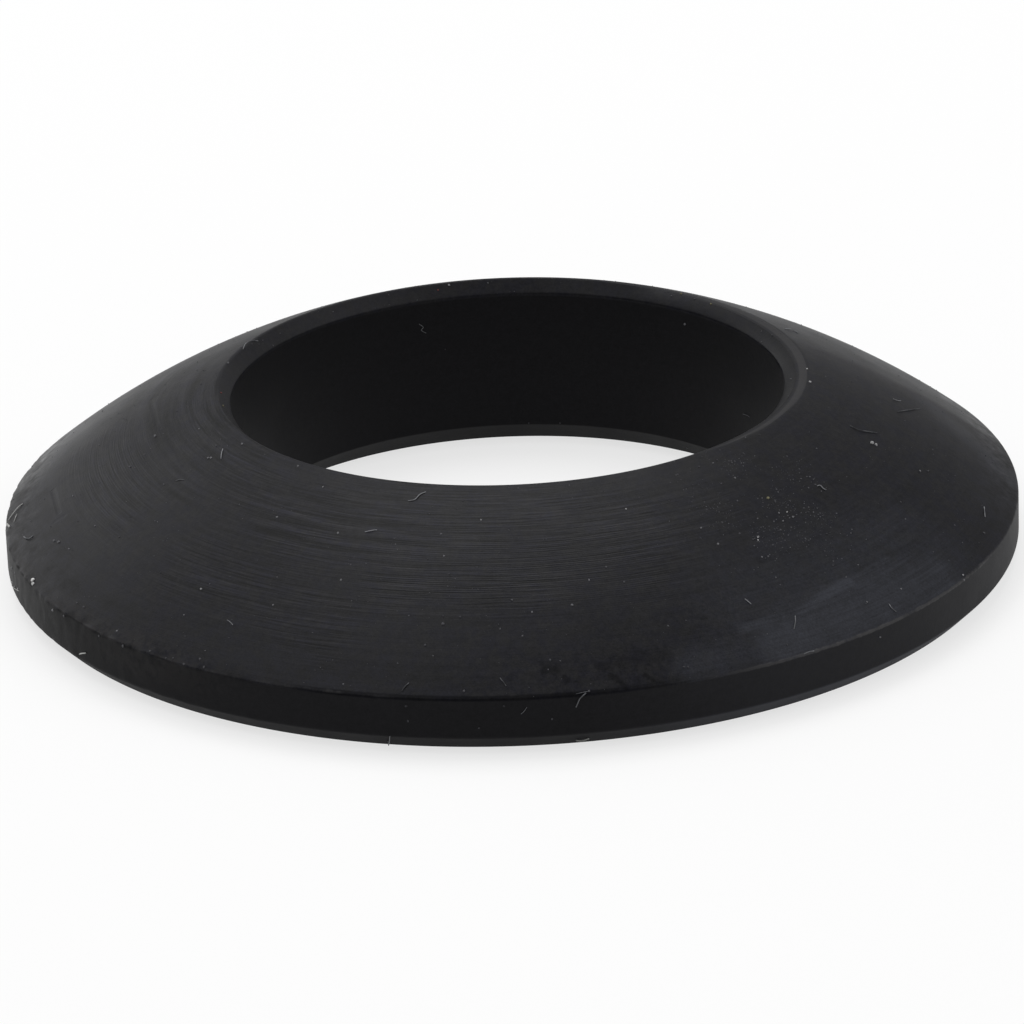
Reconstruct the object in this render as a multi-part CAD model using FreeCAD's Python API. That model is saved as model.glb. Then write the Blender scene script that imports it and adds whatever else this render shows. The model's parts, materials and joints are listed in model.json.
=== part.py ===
import FreeCAD, Part

import math
import os

# Spherical washer, turned from one piece of steel.
# Its convex seat lets a nut or bolt head tilt in a matching conical cup.
# Origin on the axis at the flat underside, +Z up through the bore. Millimetres.

# Driving dimensions
outer_diameter = 24.0
bore_diameter = 13.05
seat_radius = 19.0
rim_height = 1.3
top_land = 0.06
top_bore_chamfer = 0.29
bottom_bore_chamfer = 0.53
bottom_edge_chamfer = 0.38
rim_edge_break = 0.08

# The rubbed flat: a shallow crescent worn across the top edge on one side
worn_flat_width = 0.28
worn_flat_arc = 124.0
worn_flat_direction = 10.0

# Worked out from the sizes above
outer_radius = outer_diameter / 2
bore_radius = bore_diameter / 2
mouth_radius = bore_radius + top_bore_chamfer
land_radius = mouth_radius + top_land

# How far the cutters run past the washer
overrun = outer_diameter

origin = FreeCAD.Vector(0, 0, 0)
up = FreeCAD.Vector(0, 0, 1)


def circle_height(radius, distance):
    """Height of a circle of this radius above its centre, at a distance from the axis."""
    return math.sqrt(radius**2 - distance**2)


# The seat's centre lies on the axis, below the washer, so that seat and wall meet at rim height
seat_centre = rim_height - circle_height(seat_radius, outer_radius)
overall_height = seat_centre + circle_height(seat_radius, land_radius)


def point(radius, height):
    """Point of the section, at a distance from the axis."""
    return FreeCAD.Vector(radius, 0, height)


def on_seat(radius):
    """Point of the section on the spherical seat."""
    return point(radius, seat_centre + circle_height(seat_radius, radius))


def revolved(section):
    """Solid turned about the axis from a closed wire."""
    return Part.Face(section).revolve(origin, up, 360)


def blank():
    """Disc with a plain rim, a rounded edge and the spherical seat, faced flat at the top."""
    break_centre = point(
        outer_radius - rim_edge_break,
        seat_centre + circle_height(seat_radius - rim_edge_break, outer_radius - rim_edge_break),
    )
    # Angles are measured up from the horizontal, about the edge break's centre
    break_angle = math.atan2(break_centre.z - seat_centre, break_centre.x)
    break_middle = break_centre + point(
        rim_edge_break * math.cos(break_angle / 2),
        rim_edge_break * math.sin(break_angle / 2),
    )
    wall_foot = point(outer_radius, 0)
    wall_top = point(outer_radius, break_centre.z)
    seat_foot = on_seat(seat_radius * math.cos(break_angle))
    seat_middle = on_seat((seat_foot.x + land_radius) / 2)
    land_edge = on_seat(land_radius)
    axis_top = point(0, overall_height)
    section = Part.Wire([
        Part.makeLine(origin, wall_foot),
        Part.makeLine(wall_foot, wall_top),
        Part.Arc(wall_top, break_middle, seat_foot).toShape(),
        Part.Arc(seat_foot, seat_middle, land_edge).toShape(),
        Part.makeLine(land_edge, axis_top),
        Part.makeLine(axis_top, origin),
    ])
    return revolved(section)


def bore_cutter():
    """Bore with its two chamfers, run past both faces."""
    foot_radius = bore_radius + bottom_bore_chamfer
    return revolved(Part.makePolygon([
        point(0, -overrun),
        point(foot_radius + overrun, -overrun),
        point(bore_radius, bottom_bore_chamfer),
        point(bore_radius, overall_height - top_bore_chamfer),
        point(mouth_radius + overrun, overall_height + overrun),
        point(0, overall_height + overrun),
        point(0, -overrun),
    ]))


def rim_foot_cutter():
    """Ring that takes the chamfer off the outer edge of the underside."""
    inner_radius = outer_radius - bottom_edge_chamfer
    return revolved(Part.makePolygon([
        point(inner_radius, 0),
        point(outer_radius + overrun, bottom_edge_chamfer + overrun),
        point(outer_radius + overrun, -overrun),
        point(inner_radius, -overrun),
        point(inner_radius, 0),
    ]))


def worn_flat_cutter():
    """Block whose lower face is the rubbed flat's plane, tilted down towards the rim."""
    start = land_radius * math.cos(math.radians(worn_flat_arc / 2))
    end = on_seat(mouth_radius + worn_flat_width)
    tilt = math.degrees(math.atan2(overall_height - end.z, end.x - start))
    block = Part.makeBox(2 * overrun, 2 * overrun, overrun)
    block.translate(FreeCAD.Vector(-overrun, -overrun, 0))
    block.rotate(origin, FreeCAD.Vector(0, 1, 0), tilt)
    block.translate(point(start, overall_height))
    block.rotate(origin, up, worn_flat_direction)
    return block


def spherical_washer():
    """The whole washer: blank, edge chamfer, bore and the worn flat."""
    washer = blank()
    washer = washer.cut(rim_foot_cutter())
    washer = washer.cut(bore_cutter())
    washer = washer.cut(worn_flat_cutter())
    return washer.Solids[0]


os.makedirs("parts", exist_ok=True)
shape = spherical_washer()
shape.exportStep("parts/spherical_washer.step")
print("overall height", round(overall_height, 3))
print("volume", round(shape.Volume, 3))
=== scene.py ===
# %% [markdown]
# # A spherical washer, dusty from its box
#
# A spherical washer is one turned ring of steel. Its underside is flat and its upper face is part of a
# sphere, so a nut that stands a little askew can tilt on it. This one has a black oxide finish, which is
# a thin dark skin and not a paint, so every turning line and knock still shows through it. The lesson
# builds the ring at its real size around the measured model, then spends its time on what makes such a
# plain thing look real: its edges, its finish, and the dust that lies on it.

import json
import math

import bpy
import numpy as np
from mathutils import Matrix, Vector
from mathutils.bvhtree import BVHTree


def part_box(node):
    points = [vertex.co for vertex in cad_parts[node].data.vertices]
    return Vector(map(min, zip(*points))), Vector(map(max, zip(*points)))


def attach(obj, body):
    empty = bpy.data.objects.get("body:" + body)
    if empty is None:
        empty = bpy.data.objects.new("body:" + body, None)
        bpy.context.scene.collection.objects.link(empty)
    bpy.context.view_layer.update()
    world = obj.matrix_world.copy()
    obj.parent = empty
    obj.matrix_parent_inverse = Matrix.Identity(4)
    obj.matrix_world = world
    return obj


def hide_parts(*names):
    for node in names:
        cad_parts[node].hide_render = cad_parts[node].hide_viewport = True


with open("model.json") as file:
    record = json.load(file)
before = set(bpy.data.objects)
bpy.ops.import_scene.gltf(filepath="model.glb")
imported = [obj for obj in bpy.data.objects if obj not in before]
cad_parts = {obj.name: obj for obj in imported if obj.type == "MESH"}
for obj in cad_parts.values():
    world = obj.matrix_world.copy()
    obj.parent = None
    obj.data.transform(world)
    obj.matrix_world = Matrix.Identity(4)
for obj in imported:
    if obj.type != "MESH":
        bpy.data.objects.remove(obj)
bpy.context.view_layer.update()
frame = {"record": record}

# %% [markdown]
# ## Sizes
#
# The outside radius, the height and the bore come from the measured model itself, so the looks follow it
# if it changes. The small features that the box can't tell, such as chamfers, are named here in
# millimetres, as they would be on a drawing.

# %% Sizes of the washer
MM = 0.001
_, node_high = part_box("spherical_washer")
bore_mount = next(m for m in frame["record"]["mounts"] if m["name"] == "bore")

outer_radius = node_high.x
height = node_high.z
bore_radius = bore_mount["dims"]["r_mm"] * MM
seat_radius = 19.0 * MM
mouth_chamfer = 0.29 * MM
foot_chamfer = 0.53 * MM
rim_chamfer = 0.38 * MM
top_land = 0.06 * MM

mouth_radius = bore_radius + mouth_chamfer
land_radius = mouth_radius + top_land
seat_centre = height - math.sqrt(seat_radius**2 - land_radius**2)


def seat_height(radius):
    """Height of the spherical seat at a distance from the axis."""
    return seat_centre + math.sqrt(seat_radius**2 - radius**2)


rim_height = seat_height(outer_radius)
print("rim height, mm", round(rim_height / MM, 3))

# %% [markdown]
# ## The camera
#
# The camera is placed first, because the dust and lint are laid by where they show in the picture. It
# looks down at 22 degrees from twelve radii away, through a long lens, and is rolled a little. Distances
# are in outside radii, which is how they were found: by fitting the washer's outline to its picture.

# %% Camera
PICTURE_SIDE = 1024
SENSOR_WIDTH_MM = 36
elevation = math.radians(21.76)
roll = math.radians(2.26)
distance = 11.69 * outer_radius
pixels_per_radius = 506.1
principal_px = (510.6, 474.6)
target = Vector((0, 0, 0.15 * outer_radius))

forward = Vector((0, math.cos(elevation), -math.sin(elevation)))
level_right = Vector((1, 0, 0))
level_up = level_right.cross(forward)
picture_right = math.cos(roll) * level_right - math.sin(roll) * level_up
picture_up = math.sin(roll) * level_right + math.cos(roll) * level_up
eye = target - distance * forward
focal_px = pixels_per_radius * distance / outer_radius


def make_camera():
    """Camera at the picture's viewpoint; the shift only sets the washer where it is in the picture."""
    data = bpy.data.cameras.new("picture_camera")
    camera = bpy.data.objects.new("picture_camera", data)
    bpy.context.scene.collection.objects.link(camera)
    data.sensor_width = SENSOR_WIDTH_MM
    data.lens = focal_px / PICTURE_SIDE * data.sensor_width
    data.shift_x = (PICTURE_SIDE / 2 - principal_px[0]) / PICTURE_SIDE
    data.shift_y = (principal_px[1] - PICTURE_SIDE / 2) / PICTURE_SIDE
    data.clip_start = distance / 50
    data.clip_end = distance * 50
    axes = Matrix((picture_right, picture_up, -forward)).transposed()
    camera.matrix_world = Matrix.Translation(eye) @ axes.to_4x4()
    bpy.context.scene.camera = camera
    return camera


camera = make_camera()
print("lens", round(camera.data.lens, 1), "mm, eye", [round(v, 4) for v in eye])

# %% [markdown]
# ## Nodes in plain Python
#
# Both finishes and shapes are node trees here. Written out as boxes and wires each would be dozens of
# lines, so a small class wraps a socket and lets Python's own operators add the Math nodes. `node` makes
# any other node from its type, its settings and its inputs.

# %% A value that builds its own nodes
def operator(operation):
    """A method that adds one Math node."""

    def method(self, other):
        return self.math(operation, other)

    return method


class Value:
    """A socket that can be added, multiplied and divided like a number."""

    __add__ = __radd__ = operator("ADD")
    __sub__ = operator("SUBTRACT")
    __mul__ = __rmul__ = operator("MULTIPLY")
    __truediv__ = operator("DIVIDE")
    __pow__ = operator("POWER")

    def __init__(self, tree, socket):
        self.tree = tree
        self.socket = socket

    def math(self, operation, *others):
        """Adds a Math node with this value as its first input."""
        made = self.tree.nodes.new("ShaderNodeMath")
        made.operation = operation
        for slot, value in zip(made.inputs, (self, *others)):
            connect(self.tree, slot, value)
        return Value(self.tree, made.outputs[0])

    def __rsub__(self, other):
        return (self * -1.0) + other


def connect(tree, slot, value):
    """Gives a socket a value: a link, a number, a colour or a material."""
    if isinstance(value, Value):
        tree.links.new(value.socket, slot)
    else:
        slot.default_value = value


def strongest(first, *others):
    """The largest of several values."""
    for other in others:
        first = first.math("MAXIMUM", other)
    return first


class Nodes:
    """A node tree that is written as expressions."""

    def __init__(self, tree):
        self.tree = tree
        self.tree.nodes.clear()

    def node(self, kind, settings=None, output=0, **inputs):
        """Adds a node. Settings go in first, then inputs by name; returns one of its outputs."""
        made = self.tree.nodes.new(kind)
        for key, value in (settings or {}).items():
            setattr(made, key, value)
        for key, value in inputs.items():
            connect(self.tree, made.inputs[key.replace("_", " ")], value)
        return Value(self.tree, made.outputs[output])

    def parts(self, vector):
        """The three numbers of a vector."""
        made = self.tree.nodes.new("ShaderNodeSeparateXYZ")
        connect(self.tree, made.inputs[0], vector)
        return [Value(self.tree, socket) for socket in made.outputs]

    def vector(self, x, y, z):
        """A vector from three numbers."""
        return self.node("ShaderNodeCombineXYZ", X=x, Y=y, Z=z)

    def noise(self, vector, scale=1.0, detail=2.0, roughness=0.5):
        """Soft noise, from 0 to 1 and about 0.5."""
        return self.node(
            "ShaderNodeTexNoise", Vector=vector, Scale=scale, Detail=detail, Roughness=roughness
        )

    def ramp(self, value, low, high):
        """0 at low and below, 1 at high and above, smooth between."""
        steps = {"interpolation_type": "SMOOTHSTEP"}
        return self.node("ShaderNodeMapRange", steps, Value=value, From_Min=low, From_Max=high)

    def distance(self, *offsets):
        """Length of an offset, given by its parts."""
        squares = [offset * offset for offset in offsets]
        return sum(squares[1:], squares[0]).math("SQRT")


print("node helpers ready")

# %% [markdown]
# ## Shapes by Geometry Nodes
#
# A `Recipe` is a Geometry Nodes tree with named sizes. It is run once on a starting mesh, and its result
# is kept as a plain mesh, because a finished piece shouldn't depend on a live modifier.

# %% Geometry Nodes recipes
SOCKET_KINDS = {int: "NodeSocketInt", float: "NodeSocketFloat"}


class Recipe(Nodes):
    """A Geometry Nodes tree with named inputs, which turns a starting mesh into a finished piece."""

    def __init__(self, name, **sizes):
        self.group = bpy.data.node_groups.new(name, "GeometryNodeTree")
        super().__init__(self.group)
        self.sizes = {}
        face = self.group.interface
        face.new_socket("Geometry", in_out="INPUT", socket_type="NodeSocketGeometry")
        face.new_socket("Geometry", in_out="OUTPUT", socket_type="NodeSocketGeometry")
        for key, value in sizes.items():
            socket = face.new_socket(key, in_out="INPUT", socket_type=SOCKET_KINDS[type(value)])
            self.sizes[socket.identifier] = value
        self.start = self.tree.nodes.new("NodeGroupInput")

    def given(self, name):
        """One of the tree's inputs: its geometry, or a named size."""
        return Value(self.tree, self.start.outputs[name])

    def random(self, low, high, seed):
        """A random number for each point."""
        made = self.tree.nodes.new("FunctionNodeRandomValue")
        for key, value in (("Min_001", low), ("Max_001", high), ("Seed", seed)):
            socket = next(s for s in made.inputs if s.identifier == key)
            connect(self.tree, socket, value)
        return Value(self.tree, made.outputs[1])

    def named(self, name):
        """A number that the starting mesh carries at each point."""
        return self.node("GeometryNodeInputNamedAttribute", Name=name)

    def run(self, name, starting_mesh, geometry, material):
        """Ends the tree, runs it on the starting mesh and returns the result as an object."""
        solid = self.node("GeometryNodeRealizeInstances", Geometry=geometry)
        painted = self.node("GeometryNodeSetMaterial", Geometry=solid, Material=material)
        end = self.tree.nodes.new("NodeGroupOutput")
        connect(self.tree, end.inputs[0], painted)
        carrier = bpy.data.objects.new(name + "_start", starting_mesh)
        bpy.context.scene.collection.objects.link(carrier)
        modifier = carrier.modifiers.new("recipe", "NODES")
        modifier.node_group = self.group
        for identifier, value in self.sizes.items():
            modifier[identifier] = value
        ready = carrier.evaluated_get(bpy.context.evaluated_depsgraph_get())
        mesh = bpy.data.meshes.new_from_object(ready)
        mesh.name = name
        piece = bpy.data.objects.new(name, mesh)
        bpy.context.scene.collection.objects.link(piece)
        bpy.data.objects.remove(carrier)
        return piece


print("recipes ready")

# %% [markdown]
# ## Finishes by shader nodes
#
# A `Finish` is a material written the same way. Its surface is always the Principled one. It is made
# empty at first, because a mesh needs its material before the places of the marks on it are known.

# %% A finish that is written as expressions


class Finish(Nodes):
    """A material whose node tree is written as expressions."""

    def __init__(self, name):
        self.material = bpy.data.materials.new(name)
        self.material.use_nodes = True
        super().__init__(self.material.node_tree)

    def place_mm(self):
        """The place on the object in millimetres, as three numbers."""
        place = self.node("ShaderNodeTexCoord", output="Object")
        return [value * (1 / MM) for value in self.parts(place)]

    def mix(self, factor, first, second):
        """Blend of two colours."""
        made = self.tree.nodes.new("ShaderNodeMix")
        made.data_type = "RGBA"
        for slot, value in ((0, factor), (6, first), (7, second)):
            connect(self.tree, made.inputs[slot], value)
        return Value(self.tree, made.outputs[2])

    def brightened(self, colour, factor):
        """Colour times a number that changes over the surface."""
        return self.node("ShaderNodeVectorMath", {"operation": "SCALE"}, Vector=colour, Scale=factor)

    def carried(self, name):
        """A number that the mesh carries at each point."""
        return self.node("ShaderNodeAttribute", {"attribute_name": name}, output="Fac")

    def surface(self, **inputs):
        """Ends the tree with a Principled surface."""
        shader = self.node("ShaderNodeBsdfPrincipled", **inputs)
        end = self.tree.nodes.new("ShaderNodeOutputMaterial")
        connect(self.tree, end.inputs[0], shader)
        return self.material


oxide = Finish("black_oxide_on_turned_steel")
print("finish helpers ready")

# %% [markdown]
# ## The outline of the section
#
# The outline is a closed row of points at true size. No real edge is perfectly sharp, and it is the tiny
# rounded band along an edge that catches the light, so every corner gets one. The rim's upper edge is
# the most rounded, since it meets whatever the washer is dropped on. A straight run gets a point just
# inside each end, so that smooth shading stays flat on the run and turns only at the corner.

# %% Outline of the section
EDGE_REACH = 0.024 * MM
RIM_EDGE_REACH = 0.042 * MM
CORNER_STEPS = 3
RIM_CORNER_STEPS = 6
CORNER_ANGLE = math.radians(170)
SEAT_POINTS = 46
SEAT_CROWDING = 0.62
SHORTEST_RUN = 6 * EDGE_REACH
LONGEST_RUN = 0.9 * MM
WALL_RUN = 0.14 * MM
RIM_STEPS = (0.08 * MM, 0.17 * MM, 0.28 * MM)


def seat_points():
    """Points up the seat, from the rim to its top edge, closer together near both."""
    points = [(outer_radius - step, seat_height(outer_radius - step)) for step in RIM_STEPS]
    for i in range(1, SEAT_POINTS):
        share = (i / SEAT_POINTS) ** SEAT_CROWDING
        radius = outer_radius + (land_radius - outer_radius) * share
        points.append((radius, seat_height(radius)))
    return points


def rounded(points, wide_corners):
    """The closed outline with each corner rounded. Points along an arc stay as they are."""
    made = []
    for i, here in enumerate(points):
        corner = Vector(here)
        back = (Vector(points[i - 1]) - corner).normalized()
        on = (Vector(points[(i + 1) % len(points)]) - corner).normalized()
        if back.angle(on) > CORNER_ANGLE:
            made.append(corner)
            continue
        wide = here in wide_corners
        reach = RIM_EDGE_REACH if wide else EDGE_REACH
        steps = RIM_CORNER_STEPS if wide else CORNER_STEPS
        first = corner + back * reach
        last = corner + on * reach
        for k in range(steps + 1):
            t = k / steps
            made.append(first.lerp(corner, t).lerp(corner.lerp(last, t), t))
    return made


def steadied(points):
    """The closed outline with points added near both ends of each long run, and along it."""
    made = []
    for i, here in enumerate(points):
        following = points[(i + 1) % len(points)]
        run = following - here
        made.append(here)
        if run.length < SHORTEST_RUN:
            continue
        inset = EDGE_REACH / run.length
        on_wall = min(here.x, following.x) > outer_radius - EDGE_REACH
        parts = math.ceil(run.length / (WALL_RUN if on_wall else LONGEST_RUN))
        for share in (inset, *(k / parts for k in range(1, parts)), 1 - inset):
            made.append(here + run * share)
    return made


rim_edge = (outer_radius, rim_height)
rim_foot = (outer_radius, rim_chamfer)
corners = [
    (bore_radius + foot_chamfer, 0),
    (outer_radius - rim_chamfer, 0),
    rim_foot,
    rim_edge,
    *seat_points(),
    (land_radius, height),
    (mouth_radius, height),
    (bore_radius, height - mouth_chamfer),
    (bore_radius, foot_chamfer),
]
section = steadied(rounded(corners, (rim_edge, rim_foot)))
print("section points", len(section))

# %% [markdown]
# ## Sweeping it round, and the knocks
#
# Curve to Mesh carries the section round a circle. Two things break the symmetry. On the right the top
# edge is rubbed down to a shallow crescent: that is a tilted plane, and every point of the seat above it
# is let down onto it. And the rim has been knocked, most of all on the left: there a noise presses small
# dents into the rim's edge and the wall, never outwards.

# %% The swept body
SWEEP_STEPS = 720
worn_direction = math.radians(10)
worn_half_arc = math.radians(62)
worn_width = 0.28 * MM
worn_start = land_radius * math.cos(worn_half_arc)
worn_end = mouth_radius + worn_width
worn_fall = (height - seat_height(worn_end)) / (worn_end - worn_start)

# How close the knocks lie, in swells of noise to the millimetre
CHIPS_PER_MM = 5.0
BRUISES_PER_MM = 1.3
DENTS_PER_MM = 3.2
# Between these the knocked side begins, going left, and the wall begins, going out and up
LEFT_LEAN = 0.4
KNOCKED_SIDE = (8.2 * MM, 11.6 * MM)
WALL_RADII = (outer_radius - 0.3 * MM, outer_radius - 0.05 * MM)
WALL_HEIGHTS = (0.1 * MM, 0.3 * MM)


def section_mesh(path_radius):
    """The section as a closed row of edges, across from the path. The sweep turns its Y downwards."""
    mesh = bpy.data.meshes.new("section")
    count = len(section)
    edges = [(i, (i + 1) % count) for i in range(count)]
    mesh.from_pydata([(p.x - path_radius, -p.y, 0) for p in section], edges, [])
    return mesh


def knocks(recipe, place):
    """How far each point is pressed in: by chips and bruises at the rim's edge, and by dents in the wall."""
    given = recipe.given
    x, y, z = recipe.parts(place)
    radius = recipe.distance(x, y)
    from_edge = recipe.distance(radius - outer_radius, z - rim_height)
    left_side = recipe.ramp(x * -1.0 - y * LEFT_LEAN, *KNOCKED_SIDE)
    chips = recipe.ramp(recipe.noise(place, scale=CHIPS_PER_MM / MM), 0.5, 0.72)
    chips = chips * recipe.ramp(from_edge, given("Knock_Reach"), 0.0)
    chips = chips * (left_side * 0.9 + 0.1)
    bruises = recipe.ramp(recipe.noise(place, scale=BRUISES_PER_MM / MM), 0.35, 0.65)
    bruises = bruises * recipe.ramp(from_edge, given("Bruise_Reach"), 0.0) * left_side
    at_edge = chips * given("Knock_Depth") + bruises * given("Bruise_Depth")
    dents = recipe.ramp(recipe.noise(place, scale=DENTS_PER_MM / MM, detail=3.0), 0.48, 0.7)
    dents = dents * recipe.ramp(radius, *WALL_RADII) * recipe.ramp(z, *WALL_HEIGHTS) * left_side
    return at_edge, dents * given("Dent_Depth")


def swept_body(material):
    """The whole washer as one closed mesh."""
    path_radius = bore_radius
    recipe = Recipe(
        "turned_washer",
        Path_Radius=path_radius,
        Steps=SWEEP_STEPS,
        Worn_Direction=worn_direction,
        Worn_Start=worn_start,
        Worn_Fall=worn_fall,
        Top=height,
        Knock_Depth=0.018 * MM,
        Knock_Reach=0.10 * MM,
        Bruise_Depth=0.012 * MM,
        Bruise_Reach=0.34 * MM,
        Dent_Depth=0.016 * MM,
    )
    given = recipe.given
    outline = recipe.node("GeometryNodeMeshToCurve", Mesh=given("Geometry"))
    path = recipe.node(
        "GeometryNodeCurvePrimitiveCircle", Resolution=given("Steps"), Radius=given("Path_Radius")
    )
    ring = recipe.node("GeometryNodeCurveToMesh", Curve=path, Profile_Curve=outline)
    place = recipe.node("GeometryNodeInputPosition")
    x, y, z = recipe.parts(place)
    heading = given("Worn_Direction")
    along = x * heading.math("COSINE") + y * heading.math("SINE")
    plane = given("Top") - (along - given("Worn_Start")) * given("Worn_Fall")
    at_edge, in_wall = knocks(recipe, place)
    radius = recipe.distance(x, y)
    inward = (radius - at_edge - in_wall) / radius
    lowered = z.math("MINIMUM", plane) - at_edge * 0.9
    pressed = recipe.vector(x * inward, y * inward, lowered)
    ring = recipe.node("GeometryNodeSetPosition", Geometry=ring, Position=pressed)
    ring = recipe.node("GeometryNodeFlipFaces", Mesh=ring)
    ring = recipe.node("GeometryNodeSetShadeSmooth", Geometry=ring, Shade_Smooth=True)
    return recipe.run("washer_body", section_mesh(path_radius), ring, material)


body = swept_body(oxide.material)
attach(body, "root")
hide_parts("spherical_washer")
print("body", len(body.data.vertices), "points", len(body.data.polygons), "faces")

# %% [markdown]
# ## From the picture to the washer
#
# A mark or a speck is easiest to name by where it shows in the picture. `on_washer` sends a ray from the
# eye through that place and returns where it meets the washer, so that what is laid there really lies on
# the surface from every side. A place just past the outline finds the outline.

# %% Places in the picture
NEAREST_STEPS = 4
body_tree = BVHTree.FromPolygons(
    [v.co for v in body.data.vertices], [p.vertices for p in body.data.polygons]
)


def on_washer(px):
    """Where a place in the picture lies on the washer, and which way the surface faces there."""
    across = (px[0] - principal_px[0]) / focal_px
    down = (px[1] - principal_px[1]) / focal_px
    ray = (forward + across * picture_right - down * picture_up).normalized()
    place, normal, _, _ = body_tree.ray_cast(eye, ray)
    if place is None:
        passing = eye + ray * (target - eye).dot(ray)
        for _ in range(NEAREST_STEPS):
            place, normal, _, _ = body_tree.find_nearest(passing)
            passing = eye + ray * (place - eye).dot(ray)
    return place, normal


PX = outer_radius / pixels_per_radius
print("one pixel is", round(PX / MM, 4), "mm")

# %% [markdown]
# ## Black oxide, turned and handled
#
# Black oxide is a thin conversion layer. A little light scatters in it, as in a very dark stone, and a
# little reflects softly off its grain. On top of that lies what handling did: dark patches, dents, a
# wiped smear, and lines that are crisp in one place and dulled in the next. The marks that the eye goes
# to are named here, each as a soft stroke between two places in the picture.

# %% Marks on the oxide
# Each mark: where it starts, where it ends, half its width in millimetres, and its strength
dark_marks_px = {
    "left_core": ((545, 669), (558, 670), 0.11, 0.9),
    "left_tail": ((564, 677), (568, 680), 0.06, 0.8),
    "middle_upper": ((599, 667), (612, 668), 0.1, 0.6),
    "middle_core": ((611, 676), (624, 685), 0.08, 0.9),
    "right_core": ((645, 674), (653, 680), 0.06, 0.9),
    "upper_cloud": ((618, 664), (668, 655), 0.16, 0.45),
    "lone_spot": ((702, 619), (706, 618), 0.05, 0.7),
}
dents_px = {
    "left_dent": ((53, 490), (59, 513), 0.06, 1.0),
    "left_wedge": ((56, 521), (64, 516), 0.08, 0.9),
    "left_arc_top": ((151, 400), (157, 425), 0.06, 0.7),
    "left_arc_foot": ((157, 425), (188, 470), 0.07, 0.5),
}
smear_streaks_px = {
    "middle": ((800, 611), (850, 582), 0.16, 1.1),
    "wisp": ((850, 582), (888, 558), 0.13, 0.75),
    "tail": ((742, 630), (800, 611), 0.13, 0.85),
}
patches_px = {
    "crisp": {
        "front_inner": ((300, 530), (640, 535), 1.3, 1.0),
        "front_rows": ((395, 580), (540, 590), 0.8, 0.9),
        "left_inner": ((215, 400), (265, 500), 1.0, 0.7),
        "left_outer": ((95, 445), (125, 510), 0.9, 0.8),
        "front_left": ((190, 560), (330, 625), 0.8, 0.8),
        "right_inner": ((640, 535), (720, 505), 0.7, 0.5),
    },
    "combed": {
        "front_comb": ((390, 575), (640, 575), 0.9, 1.0),
        "left_comb": ((108, 450), (125, 500), 0.9, 0.8),
    },
    "broad": {
        "left_arcs": ((160, 375), (205, 470), 1.2, 0.85),
        "front_arcs": ((290, 520), (420, 550), 0.9, 0.7),
    },
    "haze": {
        "smear_body": ((785, 645), (945, 585), 0.85, 0.9),
        "smear_spread": ((770, 620), (925, 562), 1.6, 0.36),
        "smear_rim": ((690, 668), (800, 642), 0.45, 0.45),
        "back": ((930, 405), (1005, 475), 0.45, 0.4),
        "left": ((20, 470), (75, 430), 0.35, 0.3),
    },
}
print("patches", list(patches_px))

# %% [markdown]
# ## Small marks in the shader, broad ones on the mesh
#
# A small mark needs a sharp edge, so the shader measures the way to it wherever it paints. A broad patch
# is soft enough for the mesh to carry: its strength is worked out once at each point of the body.

# %% Strokes and patches
# Where a stroke has faded away, and where it has its full strength, in half widths off its middle line
FADED = 1.5
FULL = 0.2


def stroke(at, mark, fuzz):
    """A soft stroke over the seat: its strength along the middle and 0 outside."""
    start_px, end_px, half_width, strength = mark
    start = on_washer(start_px)[0] / MM
    run = on_washer(end_px)[0] / MM - start
    length = math.hypot(run.x, run.y)
    off_x = at.x - start.x
    off_y = at.y - start.y
    ahead = off_x * (run.x / length) + off_y * (run.y / length)
    ahead = ahead.math("MAXIMUM", 0.0).math("MINIMUM", length)
    off = at.finish.distance(off_x - ahead * (run.x / length), off_y - ahead * (run.y / length))
    return at.finish.ramp(off * (1 / half_width) + fuzz, FADED, FULL) * strength


def strokes(at, marks, fuzz):
    """The strongest of several strokes."""
    return strongest(*(stroke(at, mark, fuzz) for mark in marks.values()))


def lay_patches(mesh, name, marks):
    """Gives each point of the mesh the strength of the strongest soft stroke over it."""
    places = np.empty(len(mesh.vertices) * 3)
    mesh.vertices.foreach_get("co", places)
    places = places.reshape(-1, 3)[:, :2] / MM
    total = np.zeros(len(places))
    for start_px, end_px, half_width, strength in marks.values():
        start = np.array(on_washer(start_px)[0].xy) / MM
        run = np.array(on_washer(end_px)[0].xy) / MM - start
        ahead = np.clip((places - start) @ run / (run @ run), 0, 1)
        off = np.linalg.norm(places - start - ahead[:, None] * run, axis=1) / half_width
        share = np.clip((FADED - off) / (FADED - FULL), 0, 1)
        total = np.maximum(total, share * share * (3 - 2 * share) * strength)
    attribute = mesh.attributes.new(name, "FLOAT", "POINT")
    attribute.data.foreach_set("value", total)
    print(name, "over", round(float((total > 0).mean()), 3), "of the points")


for name, marks in patches_px.items():
    lay_patches(body.data, name, marks)

# %% [markdown]
# ## Where the shader is
#
# What the finish does at a place follows from where that is on the washer. The tone varies by noises of
# four sizes. Other noises are drawn out along the rings, as everything is that a turning tool leaves.
# They follow the way out from the axis along the surface, and that one rule gives rings on the dome and
# hoops on the walls. All lengths are in millimetres here.

# %% The painted place
# Where the foot chamfers end, upwards, and how wide the blend from chamfer to wall is
RIM_FOOT_TOP = 0.37
BORE_FOOT_TOP = 0.54
FOOT_BLEND = 0.04


def swing(noise, amount):
    """A noise's swing to either side of its middle, times an amount."""
    return (noise - 0.5) * amount


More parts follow.
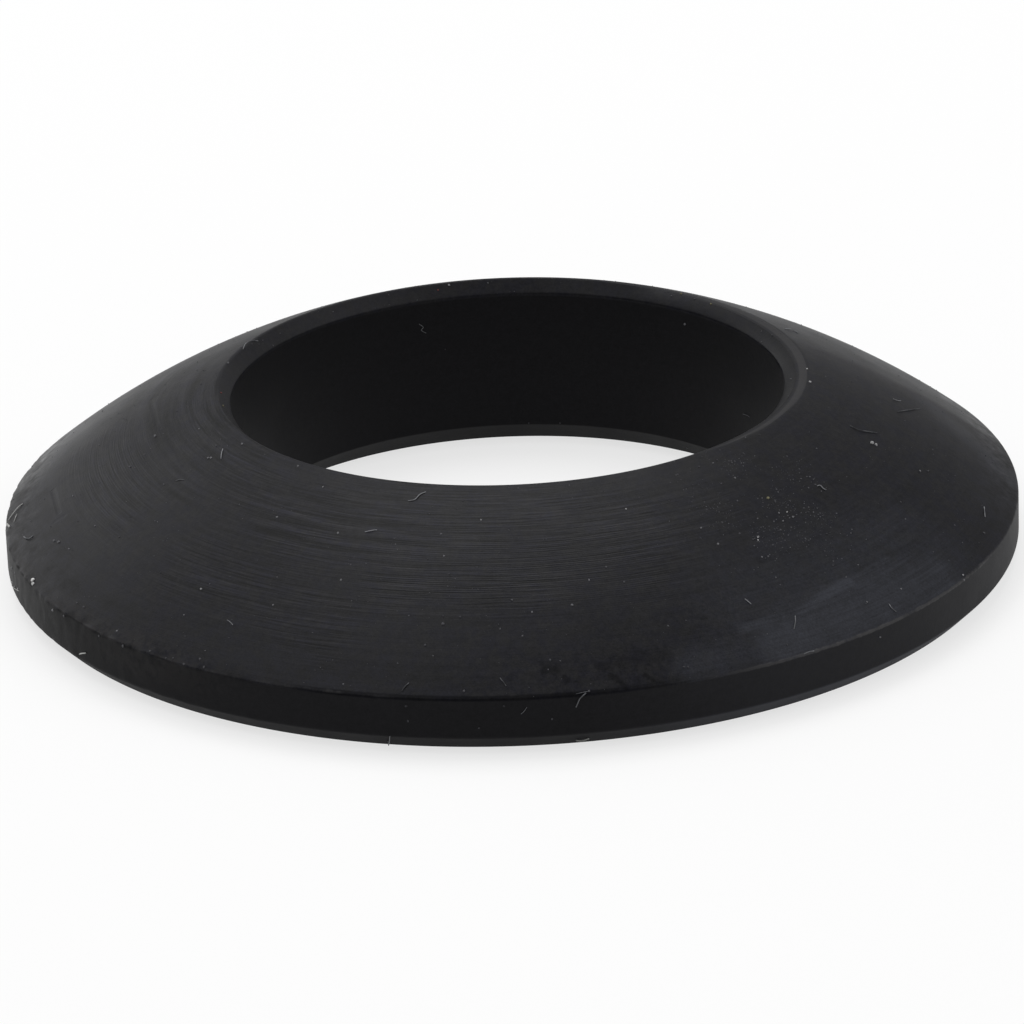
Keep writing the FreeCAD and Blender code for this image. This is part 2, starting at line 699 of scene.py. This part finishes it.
class Spot:
    """The place that is painted: its measures, its noises, and masks from 0 to 1."""

    def __init__(self, finish):
        self.finish = finish
        self.x, self.y, self.z = finish.place_mm()
        self.radius = finish.distance(self.x, self.y)
        ball = seat_radius / MM
        share = (self.radius / ball).math("MINIMUM", 1.0)
        seat_z = seat_centre / MM + ball * (1.0 - share * share).math("SQRT")
        self.depth = (seat_z - self.z).math("MAXIMUM", 0.0)
        self.way_out = ball * share.math("ARCSINE") + self.depth
        self.ahead = self.x / self.radius
        self.aside = self.y / self.radius
        self.rim_z = self.z - rim_height / MM
        self.rim_radius = self.radius - outer_radius / MM
        self.add_noises()
        self.add_masks()

    def ring_noise(self, per_radian, per_mm, detail, roughness):
        """Noise along the rings, in swells to a radian round them and to a millimetre outwards."""
        place = self.finish.vector(self.ahead * per_radian, self.aside * per_radian, self.way_out * per_mm)
        return self.finish.noise(place, detail=detail, roughness=roughness)

    def add_noises(self):
        """Noises by their swells to the millimetre, detail and roughness."""
        noise = self.finish.noise
        place = self.finish.vector(self.x, self.y, self.z)
        self.cloud = noise(place, 0.9, 4.0, 0.6)
        self.tone = noise(place, 2.6, 3.0, 0.6)
        self.mottle = noise(place, 7.0, 3.0, 0.6)
        self.grain = noise(place, 20.0, 2.0, 0.7)
        self.wander = self.ring_noise(2.0, 0.7, 1.0, 0.5)
        self.streak = self.ring_noise(6.0, 20.0, 2.0, 0.6)
        self.band = self.ring_noise(2.2, 4.5, 3.0, 0.5)
        self.nibble = self.ring_noise(14.0, 0.0, 5.0, 0.7)

    def add_masks(self):
        """The seat, the walls, the chamfers at the two feet, the lip of the bore and the right side."""
        ramp = self.finish.ramp
        self.on_seat = ramp(self.depth, 0.05, 0.01)
        self.off_seat = ramp(self.depth, 0.015, 0.05) * ramp(self.z, 3.95, 3.9)
        self.near_bore = ramp(self.radius, 8.0, 7.5)
        above_foot = self.z - (self.near_bore * (BORE_FOOT_TOP - RIM_FOOT_TOP) + RIM_FOOT_TOP)
        self.on_foot = self.off_seat * ramp(above_foot, FOOT_BLEND, 0.0)
        self.on_wall = self.off_seat * ramp(above_foot, 0.0, FOOT_BLEND)
        self.on_lip = ramp(self.radius, 6.83, 6.81) * ramp(self.z, 3.96, 4.0)
        self.on_right = ramp(self.x, 0.5, 6.5)
        self.right_rim = self.on_right * ramp(self.radius, 11.0, 11.5)


print("foot chamfers end at", RIM_FOOT_TOP, "and", BORE_FOOT_TOP, "mm")

# %% [markdown]
# ## Lines and marks
#
# The tool left about eighteen lines to the millimetre. They are crisp in some patches and nearly gone in
# others, where handling has dulled them. Here and there they stand as even as a comb, or lie in broad
# arcs. The marks lie over them, and noise makes their edges ragged.

# %% Lines and marks
TURNING_PITCH = 0.055


def turning_lines(at):
    """Height of the turning lines, about 0: some everywhere, and more in the patches."""
    crisp = at.finish.carried("crisp") * (at.band * 0.8 + 0.6)
    combed = at.finish.carried("combed")
    broad = at.finish.carried("broad")
    phase = (at.way_out * (1 / TURNING_PITCH) + at.wander * 2.0) * (2 * math.pi)
    lines = swing(at.streak, crisp * 2.3 + 0.35) + phase.math("SINE") * 0.5 * (combed * 0.28 + 0.02)
    return (lines + swing(at.band, broad * 2.4 + 0.3)) * (at.on_seat * 0.75 + 0.25)


def handling_marks(at):
    """The dark marks, the dents and the smear, each from 0 to 1 and on the seat only."""
    fuzz = swing(at.tone, 2.0) + swing(at.mottle, 1.6)
    dark = strokes(at, dark_marks_px, fuzz) * at.on_seat
    dents = strokes(at, dents_px, 0.0) * at.on_seat
    haze = at.finish.carried("haze") * (1.0 - fuzz * 0.4)
    smeared = strongest(strokes(at, smear_streaks_px, fuzz * 0.5), haze)
    return dark, dents, smeared * at.on_seat * (at.streak * 0.28 + 0.72)


print("turning lines are", TURNING_PITCH, "mm apart")

# %% [markdown]
# ## Worn edges, and a painted dark reflection
#
# The skin wears through first on an edge. The rim's upper edge is rubbed to steel at the front right and
# pecked at the front left. The let-down crescent and the lip of the bore are rubbed faintly. In front, a
# thin line along the rim's edge is painted darker than what lies round it: a painted dark reflection.

# %% Worn edges, and a painted dark reflection
# The painted dark reflection lies a little inside the rim's upper edge, and above it
LINE_INSET = 0.03
LINE_RISE = 0.015


def bare_steel(at):
    """Share of bare steel, from 0 to 1."""
    ramp = at.finish.ramp
    edge_off = at.finish.distance(at.rim_radius, at.rim_z)
    right_side = ramp(at.x, 3.2, 6.5) * ramp(at.y, -4.0, -5.8)
    rubbed = ramp(edge_off + swing(at.mottle, 0.08), 0.055, 0.015) * right_side
    rubbed = rubbed * ramp(at.nibble + right_side * 0.06, 0.34, 0.62)
    pecked = ramp(edge_off + swing(at.mottle, 0.16), 0.1, 0.02) * ramp(at.nibble, 0.42, 0.62)
    pecked = pecked * ramp(at.x, -1.5, -4.5) * ramp(at.rim_z, -0.01, 0.01)
    crescent = ramp(at.depth, 0.002, 0.012) * ramp(at.radius, 6.86, 6.9) * ramp(at.z, 4.1, 4.12)
    lip = at.on_lip * ramp(at.x, 1.0, -3.0)
    return strongest(rubbed * 0.75, pecked * 0.3, crescent * 0.3, lip * 0.11)


def painted_dark_reflection(at):
    """The thin painted dark reflection along the front of the rim's upper edge, from 0 to 1."""
    ramp = at.finish.ramp
    line_off = at.finish.distance(at.rim_radius + LINE_INSET, at.rim_z - LINE_RISE)
    line = ramp(line_off + swing(at.mottle, 0.03), 0.095, 0.045)
    return line * ramp(at.x, 5.0, 1.0) * ramp(at.x, -5.6, -4.2)


print("worn edges ready")

# %% [markdown]
# ## The whole finish
#
# The masks change colour, roughness and the share of bare metal. Painted shade darkens the walls, more on
# the left than on the right, the two foot chamfers, and the bore's lip on the right. The rim's foot on the
# right is made a lighter grey, as dust and painted light. A dark patch, a wall in painted shade and the
# painted dark reflection are made with bare metal too, in a near-black colour, because that takes away
# some of the gloss as well.

# %% Black oxide
BLUE_BLACK = (0.0076, 0.0077, 0.0116, 1)
WARM_BLACK = (0.0094, 0.0092, 0.0106, 1)
# Near-black of the dark marks, also used for painted shade and the painted dark reflection
DEAD_BLACK = (0.0022, 0.0022, 0.0027, 1)
RUBBED_STEEL = (0.075, 0.073, 0.074, 1)
DUSTY_BROWN = (0.026, 0.024, 0.023, 1)
# Grey of the smear, also used as painted light on the rim's foot on the right
SMEAR_AND_PAINTED_LIGHT_GREY = (0.029, 0.0307, 0.0385, 1)
SKIN_ROUGHNESS = 0.44
SKIN_GLOSS = 0.126
BUMP_HEIGHT = 0.0034 * MM


def skin_colour(at, lines, smeared):
    """The oxide's own colour: blue-black to warm black, cloudy and speckled, with the smear."""
    finish = at.finish
    warm = finish.ramp(at.tone + swing(at.mottle, 0.6), 0.36, 0.64)
    skin = finish.mix(strongest(warm, at.off_seat), BLUE_BLACK, WARM_BLACK)
    skin = finish.mix(smeared, skin, SMEAR_AND_PAINTED_LIGHT_GREY)
    speckle = swing(at.mottle, 1.3) + swing(at.grain, 1.7)
    speckle = speckle * (1.0 - at.off_seat * 0.4 - smeared * 0.4)
    light = 1.0 + swing(at.cloud, 0.6) + lines * 2.0 + speckle
    return finish.brightened(skin, light.math("MAXIMUM", 0.15))


def rim_dust_and_painted_shade(at):
    """Brown dust on the left end of the rim, from 0 to 1, fading towards the foot as painted shade."""
    ramp = at.finish.ramp
    left_side = ramp(at.x * -1.0 - at.y * 0.4, 9.4, 12.4) * ramp(at.radius, 11.5, 11.95)
    # The dust fades out towards the foot, which paints the low wall darker as shade
    return left_side * ramp(at.mottle + at.cloud, 0.85, 1.15) * ramp(at.z, 0.4, 1.0)


def skin_roughness(at):
    """Roughness: cloudy and grainy, scuffed towards the rim, and drier on the right and the feet."""
    ramp = at.finish.ramp
    scuffed = (swing(at.tone, 0.4) + swing(at.mottle, 0.32)) * ramp(at.radius, 10.6, 11.8)
    dry_side = ramp(at.x, 5.0, 10.0) * ramp(at.y, 2.2, 1.6)
    wet_side = ramp(at.x, -8.5, -11.0) * ramp(at.y, 0.2, 1.6)
    rough = SKIN_ROUGHNESS + swing(at.cloud, 0.16) + swing(at.grain, 0.12)
    rough = rough + at.on_foot * 0.25 + at.on_wall * 0.14
    return rough + (scuffed + dry_side * 0.08 - wet_side * 0.07) * at.on_seat


def paint_oxide(finish):
    """Turned steel with a black oxide skin, as it is after some handling."""
    at = Spot(finish)
    lines = turning_lines(at)
    dark, dents, smeared = handling_marks(at)
    bare = bare_steel(at)
    # Painted dark reflection along the front of the rim's upper edge
    line = painted_dark_reflection(at)
    # Painted shade on the walls, deeper on the left and lighter on the right, and on the bore's lip on the
    # right
    wall_shade = at.on_wall * (0.32 + finish.ramp(at.x, -8.0, -11.0) * 0.38 - at.right_rim * 0.28)
    wall_shade = strongest(wall_shade, at.on_lip * at.on_right * 0.42)
    # Painted shade on the two foot chamfers, deeper by the bore and lighter on the right
    foot_shade = at.on_foot * (0.38 + at.near_bore * 0.4 - at.right_rim * 0.36)
    # Dust and painted light: the rim's foot on the right is made a lighter grey
    foot_dust_and_painted_light = (at.on_foot * 0.78 + at.on_wall * 0.12) * at.right_rim
    colour = finish.mix(rim_dust_and_painted_shade(at) * 0.45, skin_colour(at, lines, smeared), DUSTY_BROWN)
    colour = finish.mix(foot_dust_and_painted_light, colour, SMEAR_AND_PAINTED_LIGHT_GREY)
    # Towards near-black: the dark marks, the painted shade on walls and feet, and the painted dark
    # reflection
    colour = finish.mix(strongest(dark * 0.6, wall_shade, line * 0.6, foot_shade), colour, DEAD_BLACK)
    relief = lines + swing(at.mottle, 0.6) + swing(at.grain, 0.7) - dents * 2.2
    return finish.surface(
        Base_Color=finish.mix(bare, colour, RUBBED_STEEL),
        Roughness=skin_roughness(at),
        Metallic=strongest(dark * 0.3, wall_shade * 0.9, line * 0.5, bare),
        Specular_IOR_Level=SKIN_GLOSS,
        Normal=finish.node("ShaderNodeBump", Strength=1.0, Distance=BUMP_HEIGHT, Height=relief),
    )


paint_oxide(oxide)
print("oxide nodes", len(oxide.tree.nodes))

# %% [markdown]
# ## Dust
#
# Two kinds of dust lie on the washer. A fine scatter came from the air and the box: it is sown by a
# noise, thicker in one cloud on the right. The larger grains are single things that the eye goes to, so
# each has a name and its place in the picture. A grain is a small faceted ball, squashed by random
# amounts, and it lies half sunk as dust does.

# %% Finishes of the dust
# Each finish: its paler colour and its duller one
dust_colours = {
    "bright_grit": ((0.46, 0.46, 0.46, 1), (0.2, 0.2, 0.21, 1)),
    "grey_grit": ((0.2, 0.2, 0.21, 1), (0.105, 0.105, 0.115, 1)),
    "faint_grit": ((0.085, 0.085, 0.092, 1), (0.05, 0.05, 0.056, 1)),
    "dim_grit": ((0.05, 0.05, 0.056, 1), (0.025, 0.025, 0.028, 1)),
    "white_flake": ((0.85, 0.85, 0.84, 1), (0.6, 0.6, 0.6, 1)),
    "fine_grey_dust": ((0.12, 0.12, 0.13, 1), (0.045, 0.045, 0.05, 1)),
    "yellow_grit": ((0.21, 0.195, 0.12, 1), (0.13, 0.12, 0.08, 1)),
    "red_grit": ((0.2, 0.06, 0.05, 1), (0.14, 0.05, 0.05, 1)),
    "pale_lint": ((0.26, 0.265, 0.28, 1), (0.115, 0.118, 0.125, 1)),
    "dull_lint": ((0.115, 0.118, 0.125, 1), (0.045, 0.047, 0.051, 1)),
    "bright_sliver": ((0.48, 0.48, 0.47, 1), (0.3, 0.3, 0.29, 1)),
}


def dust_finish(name, pale, dull):
    """Dry matt dust, paler and duller from grain to grain."""
    finish = Finish(name)
    x, y, z = finish.place_mm()
    varied = finish.noise(finish.vector(x, y, z), scale=3.0, detail=2.0)
    colour = finish.mix(finish.ramp(varied, 0.35, 0.6), dull, pale)
    rough = 0.75 + varied * 0.2
    return finish.surface(Base_Color=colour, Roughness=rough, Specular_IOR_Level=0.2)


dust_finishes = {name: dust_finish(name, *colours) for name, colours in dust_colours.items()}
print("dust finishes", len(dust_finishes))

# %% Grains, sown and placed
CLOUD_MIDDLE_PX = (765, 500)
CLOUD_FADE = (1.0, 0.2)
PATCHES_PER_MM = 0.9
IN_CLOUD_PATCHES = (0.38, 0.6)
IN_PATCHES = (0.38, 0.7)
FACING_UP = (0.3, 0.6)
cloud_middle = on_washer(CLOUD_MIDDLE_PX)[0]


def grains(recipe, points, size):
    """A squashed grain on each point."""
    ball = recipe.node("GeometryNodeMeshIcoSphere", Radius=1.0, Subdivisions=1)
    squash = recipe.vector(*(recipe.random(0.65, 1.25, 10 + k) * size for k in range(3)))
    turn = recipe.vector(*(recipe.random(0.0, 2 * math.pi, 20 + k) for k in range(3)))
    return recipe.node(
        "GeometryNodeInstanceOnPoints", Points=points, Instance=ball, Rotation=turn, Scale=squash
    )


def sown_dust():
    """Fine dust over the seat, in patches, with a thicker cloud on the right."""
    recipe = Recipe(
        "sown_dust",
        Base_per_mm2=9.0,
        Cloud_per_mm2=190.0,
        Cloud_Reach=2.3 * MM,
        Smallest=0.006 * MM,
        Largest=0.022 * MM,
        Seed=4,
    )
    given = recipe.given
    place = recipe.node("GeometryNodeInputPosition")
    x, y, _ = recipe.parts(place)
    facing = recipe.parts(recipe.node("GeometryNodeInputNormal"))[2]
    off = recipe.distance(x - cloud_middle.x, y - cloud_middle.y)
    patches = recipe.noise(place, scale=PATCHES_PER_MM / MM, detail=3.0)
    in_cloud = recipe.ramp(off / given("Cloud_Reach"), *CLOUD_FADE)
    in_cloud = in_cloud * recipe.ramp(patches, *IN_CLOUD_PATCHES)
    per_mm2 = given("Base_per_mm2") * recipe.ramp(patches, *IN_PATCHES)
    per_mm2 = (per_mm2 + in_cloud * given("Cloud_per_mm2")) * recipe.ramp(facing, *FACING_UP)
    points = recipe.node(
        "GeometryNodeDistributePointsOnFaces",
        Mesh=given("Geometry"),
        Density=per_mm2 * (1 / MM**2),
        Seed=given("Seed"),
    )
    spread = recipe.random(0.0, 1.0, given("Seed") + 1) ** 3.0
    size = given("Smallest") + (given("Largest") - given("Smallest")) * spread
    return recipe.run(
        "sown_dust", body.data, grains(recipe, points, size), dust_finishes["fine_grey_dust"]
    )


def placed_grains(name, marks, material):
    """Single grains at named places in the picture. Their widths are in pixels too."""
    mesh = bpy.data.meshes.new(name + "_places")
    mesh.from_pydata([on_washer((x, y))[0] for x, y, _ in marks.values()], [], [])
    sizes = mesh.attributes.new("grain_size", "FLOAT", "POINT")
    for item, (_, _, width) in zip(sizes.data, marks.values()):
        item.value = width / 2 * PX
    recipe = Recipe(name, Size_Factor=1.0)
    points = recipe.node("GeometryNodeMeshToPoints", Mesh=recipe.given("Geometry"))
    size = recipe.named("grain_size") * recipe.given("Size_Factor")
    return recipe.run(name, mesh, grains(recipe, points, size), material)


print("cloud of dust about", [round(v / MM, 2) for v in cloud_middle], "mm")

# %% [markdown]
# The single grains are sorted by tone, from bright to dim, and two groups have a colour of their own.

# %% Single grains
# Each group: its name and its finish. Each grain: its place in the picture and its width, in pixels
grains_px = {
    ("bright_grains", "bright_grit"): {
        "right_large": (872, 443, 4.4), "right_large_end": (876, 445, 3.8), "back_right": (810, 382, 2.8),
        "back_right_twin": (807, 369, 2.0), "cloud_low_1": (758, 537, 2.8),
        "cloud_low_2": (758, 540, 2.0), "cloud_right": (787, 512, 2.0), "inner": (481, 520, 1.9),
        "left_inner": (323, 487, 2.0), "left_low": (201, 589, 2.6), "middle": (626, 509, 1.9),
        "right_rim": (963, 575, 2.2), "tuft_1": (15, 587, 3.4), "tuft_2": (18, 589, 2.6),
        "rim_speck": (12, 582, 3.0), "bore_foot": (687, 448, 2.4),
    },
    ("white_flakes", "white_flake"): {
        "chip_block": (33, 580, 4.6), "chip_block_foot": (33, 584, 4.2),
    },
    ("grey_grains", "grey_grit"): {
        "bore_back": (685, 324, 3.2), "cloud_1": (779, 513, 2.2), "cloud_2": (793, 517, 2.4),
        "cloud_3": (718, 544, 2.2), "cloud_4": (701, 528, 2.2), "cloud_5": (762, 557, 2.0),
        "cloud_6": (713, 463, 2.0), "cloud_7": (735, 478, 2.0), "cloud_8": (783, 521, 2.0),
        "smear_1": (901, 589, 2.2), "smear_2": (867, 602, 2.0), "right_rim_low": (964, 580, 2.2),
        "right_wall": (880, 637, 2.4), "right_1": (920, 471, 2.6), "right_low_edge": (892, 662, 2.4),
        "front_1": (532, 612, 2.6), "front_2": (572, 605, 2.6), "front_3": (589, 580, 2.2),
        "inner_1": (444, 556, 2.2), "inner_2": (441, 534, 2.2), "left_1": (338, 533, 2.4),
        "left_2": (298, 466, 2.2), "left_3": (341, 580, 2.2), "left_4": (277, 517, 2.4),
        "left_5": (273, 605, 2.4), "left_6": (184, 615, 2.2), "left_7": (117, 631, 2.4),
        "left_8": (95, 526, 2.4), "left_9": (54, 541, 3.0), "left_10": (59, 542, 3.2),
        "left_11": (69, 549, 2.6), "left_12": (155, 436, 3.6), "left_13": (211, 458, 2.6),
        "left_14": (216, 446, 2.4), "left_15": (208, 458, 2.0), "left_16": (242, 444, 2.8),
        "left_17": (130, 467, 2.2), "left_18": (73, 496, 2.6), "left_19": (199, 429, 2.0),
        "back_left": (228, 363, 2.6), "rim_nib_1": (53, 610, 3.0), "rim_nib_2": (64, 616, 2.4),
        "edge_1": (12, 568, 2.6), "edge_2": (15, 573, 2.4), "mouth": (791, 379, 2.2),
        "top_edge_1": (449, 285, 2.4), "top_edge_2": (488, 283, 2.2),
    },
    ("faint_grains", "faint_grit"): {
        "front_1": (624, 582, 2.2), "front_2": (443, 616, 2.4), "front_3": (443, 624, 3.2),
        "front_4": (460, 617, 2.2), "front_5": (425, 645, 2.6), "front_6": (606, 567, 2.6),
        "front_7": (500, 629, 2.6), "front_8": (550, 660, 2.4), "front_9": (464, 691, 2.8),
        "front_10": (433, 656, 2.2), "front_11": (668, 626, 2.4), "front_12": (589, 691, 2.4),
        "front_13": (684, 667, 2.6), "front_14": (688, 667, 2.6), "front_15": (512, 600, 2.6),
        "front_16": (455, 579, 2.6), "left_2": (84, 607, 2.6), "left_3": (77, 603, 2.4),
        "left_4": (119, 537, 2.2), "left_5": (200, 659, 2.6), "left_6": (204, 667, 2.4),
        "rim_nib_1": (99, 636, 2.6), "rim_nib_2": (123, 646, 2.6), "rim_nib_3": (150, 651, 2.4),
        "rim_nib_4": (166, 658, 2.6), "rim_nib_5": (173, 658, 2.4), "rim_nib_6": (184, 664, 2.4),
        "cloud_1": (699, 467, 2.4), "smear_1": (787, 645, 2.4), "right_1": (928, 471, 2.4),
        "right_2": (984, 533, 2.8), "mouth": (772, 335, 2.4),
    },
    ("dim_grains", "dim_grit"): {
        "wall_1": (406, 706, 2.6), "wall_2": (408, 721, 2.4), "wall_3": (504, 706, 2.4),
        "wall_4": (552, 719, 2.2), "wall_5": (479, 728, 2.2), "bore_1": (445, 349, 2.2),
        "bore_2": (529, 423, 2.4), "bore_3": (560, 423, 2.2),
    },
    ("yellow_grains", "yellow_grit"): {
        "cloud_yellow": (768, 498, 3.2), "left_yellow": (223, 406, 2.6), "bore_yellow_1": (711, 304, 2.4),
        "bore_yellow_2": (681, 294, 2.4),
    },
    ("red_grains", "red_grit"): {
        "left_red": (221, 393, 2.2), "back_red": (438, 290, 2.2),
    },
}
dust_pieces = [sown_dust()]
for (name, finish_name), marks in grains_px.items():
    dust_pieces.append(placed_grains(name, marks, dust_finishes[finish_name]))
for piece in dust_pieces:
    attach(piece, "root")
    print(piece.name, len(piece.data.polygons), "faces")

# %% [markdown]
# ## Lint and slivers
#
# Lint is short textile fibre, about a fiftieth of a millimetre thick. Each fibre is a row of places in
# the picture, joined by a smooth curve that lies on the washer and lifts off it a little in the middle.
# The slivers on the left rim are made the same way, only thicker: they are burrs raised by a knock.

# %% Strands
# How high a strand's middle line lies, in half widths: at its ends, and what its middle has on top
END_LIFT = 0.35
MIDDLE_LIFT = 1.1
# Each group: its name and its finish. Each strand: its width in pixels and its places
strands_px = {
    ("lint", "pale_lint"): {
        "bent_left": (1.3, ((408, 501), (415, 500), (420, 495), (426, 492))),
        "short_left": (1.3, ((365, 532), (372, 531), (377, 530))),
        "upright_right": (1.5, ((795, 616), (795, 622), (794, 629))),
        "slanted_right": (1.15, ((745, 599), (748, 602), (751, 604))),
        "edge_right": (1.2, ((889, 604), (891, 608), (896, 612))),
        "far_right": (1.4, ((984, 507), (984, 512), (985, 517))),
        "at_the_foot": (1.4, ((390, 736), (388, 741), (387, 745))),
        "left_upright": (1.5, ((223, 449), (222, 454), (221, 459))),
        "top_edge_arc": (1.1, ((243, 349), (246, 344), (252, 341), (258, 341))),
        "back_faint": (1.0, ((893, 399), (897, 401), (901, 401))),
        "cloud_squiggle": (1.4, ((817, 486), (820, 486), (823, 489), (826, 490))),
        "curled_flake": (1.8, ((24, 537), (27, 539), (30, 539), (33, 536))),
        "chip_at_rim": (1.1, ((804, 654), (809, 652), (814, 651))),
        "left_curl": (1.1, ((176, 481), (180, 480), (184, 480))),
        "front_curl": (0.9, ((227, 620), (230, 622), (233, 625))),
        "back_streak": (1.3, ((785, 329), (791, 330), (798, 333))),
    },
    ("dull_lint", "dull_lint"): {
        "over_rim": (1.7, ((586, 693), (580, 698), (578, 702), (576, 707))),
        "over_rim_arm": (0.8, ((576, 694), (581, 693), (590, 691))),
        "front_double": (1.3, ((500, 678), (503, 682), (506, 686))),
        "front_slanted": (1.5, ((409, 683), (405, 687), (402, 691))),
        "wall_slanted": (1.0, ((527, 707), (524, 711), (521, 714))),
        "back_pale": (1.2, ((897, 412), (905, 411), (920, 409))),
        "bore_faint": (0.9, ((743, 414), (747, 415), (750, 417))),
        "bore_squiggle": (1.4, ((419, 324), (423, 327), (421, 330), (426, 333))),
        "right_arc": (1.4, ((850, 426), (857, 430), (866, 432), (877, 433))),
    },
    ("slivers", "bright_sliver"): {
        "diagonal": (1.8, ((9, 520), (14, 514), (19, 508), (23, 504))),
        "diagonal_branch": (1.1, ((14, 522), (16, 518), (17, 514))),
        "burr": (3.0, ((6, 524), (8, 525), (10, 527))),
        "tuft_strand": (1.4, ((12, 585), (15, 588), (19, 591))),
        "foot_burr": (2.2, ((80, 654), (83, 653), (86, 653))),
        "foot_streak": (2.4, ((576, 740), (582, 739), (589, 738))),
    },
}


def strand_mesh(name, strands):
    """The strands as rows of edges on the washer, each lifted a little in its middle."""
    places = []
    edges = []
    thickness = []
    for width, row in strands.values():
        for i, px in enumerate(row):
            place, normal = on_washer(px)
            lift = END_LIFT + MIDDLE_LIFT * math.sin(math.pi * i / (len(row) - 1))
            if i:
                edges.append((len(places) - 1, len(places)))
            spot = place + normal * (lift * width / 2 * PX)
            spot.z = max(spot.z, width / 2 * PX)
            places.append(spot)
            thickness.append(width / 2 * PX)
    mesh = bpy.data.meshes.new(name)
    mesh.from_pydata(places, edges, [])
    attribute = mesh.attributes.new("half_width", "FLOAT", "POINT")
    attribute.data.foreach_set("value", thickness)
    return mesh


def laid_strands(name, strands, material):
    """Round strands along smooth curves, with closed ends."""
    recipe = Recipe(name, Sides=6, Steps=4, Thinness=0.62)
    curve = recipe.node("GeometryNodeMeshToCurve", Mesh=recipe.given("Geometry"))
    curve = recipe.node("GeometryNodeCurveSplineType", {"spline_type": "CATMULL_ROM"}, Curve=curve)
    curve = recipe.node("GeometryNodeSetSplineResolution", Geometry=curve, Resolution=recipe.given("Steps"))
    ring = recipe.node(
        "GeometryNodeCurvePrimitiveCircle", Resolution=recipe.given("Sides"), Radius=1.0
    )
    tube = recipe.node(
        "GeometryNodeCurveToMesh",
        Curve=curve,
        Profile_Curve=ring,
        Scale=recipe.named("half_width") * recipe.given("Thinness"),
        Fill_Caps=True,
    )
    return recipe.run(name, strand_mesh(name + "_rows", strands), tube, material)


strand_pieces = []
for (name, finish_name), strands in strands_px.items():
    strand_pieces.append(laid_strands(name, strands, dust_finishes[finish_name]))
for piece in strand_pieces:
    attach(piece, "root")
    print(piece.name, len(piece.data.polygons), "faces")

# %% [markdown]
# ## Floor, lamps and world
#
# The washer lies on a plain white ground under soft lamps. Five square softboxes do the work: the main
# one overhead and a little behind, so that the dome reflects it towards the camera, and weaker ones to
# the left, to the right and behind on the left. Together they light white ground just up to white.

# %% Floor
FLOOR_SIDE = 3.0
# The floor lies a hair below the underside, because two flat faces at one height show through each other
FLOOR_GAP = 0.01 * MM
FLOOR_WHITE = (0.96, 0.96, 0.96, 1)
GLOW_WHITE = (1, 1, 1, 1)
GLOW_SHARE = 0.7


def make_floor():
    """Plain pale floor under the washer."""
    half = FLOOR_SIDE / 2
    square = ((-half, -half), (half, -half), (half, half), (-half, half))
    places = [(x, y, -FLOOR_GAP) for x, y in square]
    mesh = bpy.data.meshes.new("floor")
    mesh.from_pydata(places, [], [(0, 1, 2, 3)])
    made = bpy.data.objects.new("floor", mesh)
    bpy.context.scene.collection.objects.link(made)
    return made


def white_ground():
    """White paint that also glows a little to the camera, so that the washer's shadow stays faint."""
    finish = Finish("white_ground")
    ray = finish.tree.nodes.new("ShaderNodeLightPath")
    kinds = ("Is Camera Ray", "Is Glossy Ray", "Is Transmission Ray")
    seen = strongest(*(Value(finish.tree, ray.outputs[kind]) for kind in kinds))
    paint = finish.node("ShaderNodeBsdfDiffuse", Color=FLOOR_WHITE)
    glow = finish.node("ShaderNodeEmission", Color=GLOW_WHITE, Strength=1.0)
    both = finish.tree.nodes.new("ShaderNodeMixShader")
    for slot, value in enumerate((seen * GLOW_SHARE, paint, glow)):
        connect(finish.tree, both.inputs[slot], value)
    end = finish.tree.nodes.new("ShaderNodeOutputMaterial")
    connect(finish.tree, end.inputs[0], Value(finish.tree, both.outputs[0]))
    return finish.material


floor = make_floor()
floor.data.materials.append(white_ground())
print("floor", FLOOR_SIDE, "m")

# %% Lamps
LAMP_REACH = 0.5
LAMP_SIDE = 0.3
WORLD_GREY = (0.4, 0.4, 0.4, 1)
# Each lamp: azimuth from +X towards +Y and elevation, in degrees, then its power in watts
lamps = {
    "main_softbox": (90, 66, 0.95),
    "left_softbox": (180, 66, 0.42),
    "right_softbox": (0, 42, 0.31),
    "back_left_softbox": (135, 42, 0.17),
    "low_left_softbox": (135, 18, 0.23),
}


def softbox(name, azimuth, up_angle, power):
    """Square softbox that faces the washer."""
    around = math.radians(azimuth)
    up = math.radians(up_angle)
    flat = math.cos(up)
    towards = Vector((math.cos(around) * flat, math.sin(around) * flat, math.sin(up)))
    data = bpy.data.lights.new(name, "AREA")
    data.shape = "SQUARE"
    data.size = LAMP_SIDE
    data.energy = power
    lamp = bpy.data.objects.new(name, data)
    lamp.location = towards * LAMP_REACH
    lamp.rotation_euler = towards.to_track_quat("Z", "Y").to_euler()
    bpy.context.scene.collection.objects.link(lamp)


for name, (azimuth, up_angle, power) in lamps.items():
    softbox(name, azimuth, up_angle, power)

world = bpy.data.worlds.new("studio")
world.use_nodes = True
world.node_tree.nodes["Background"].inputs["Color"].default_value = WORLD_GREY
bpy.context.scene.world = world
bpy.context.scene.view_settings.view_transform = "Standard"
print("lamps", len(lamps))
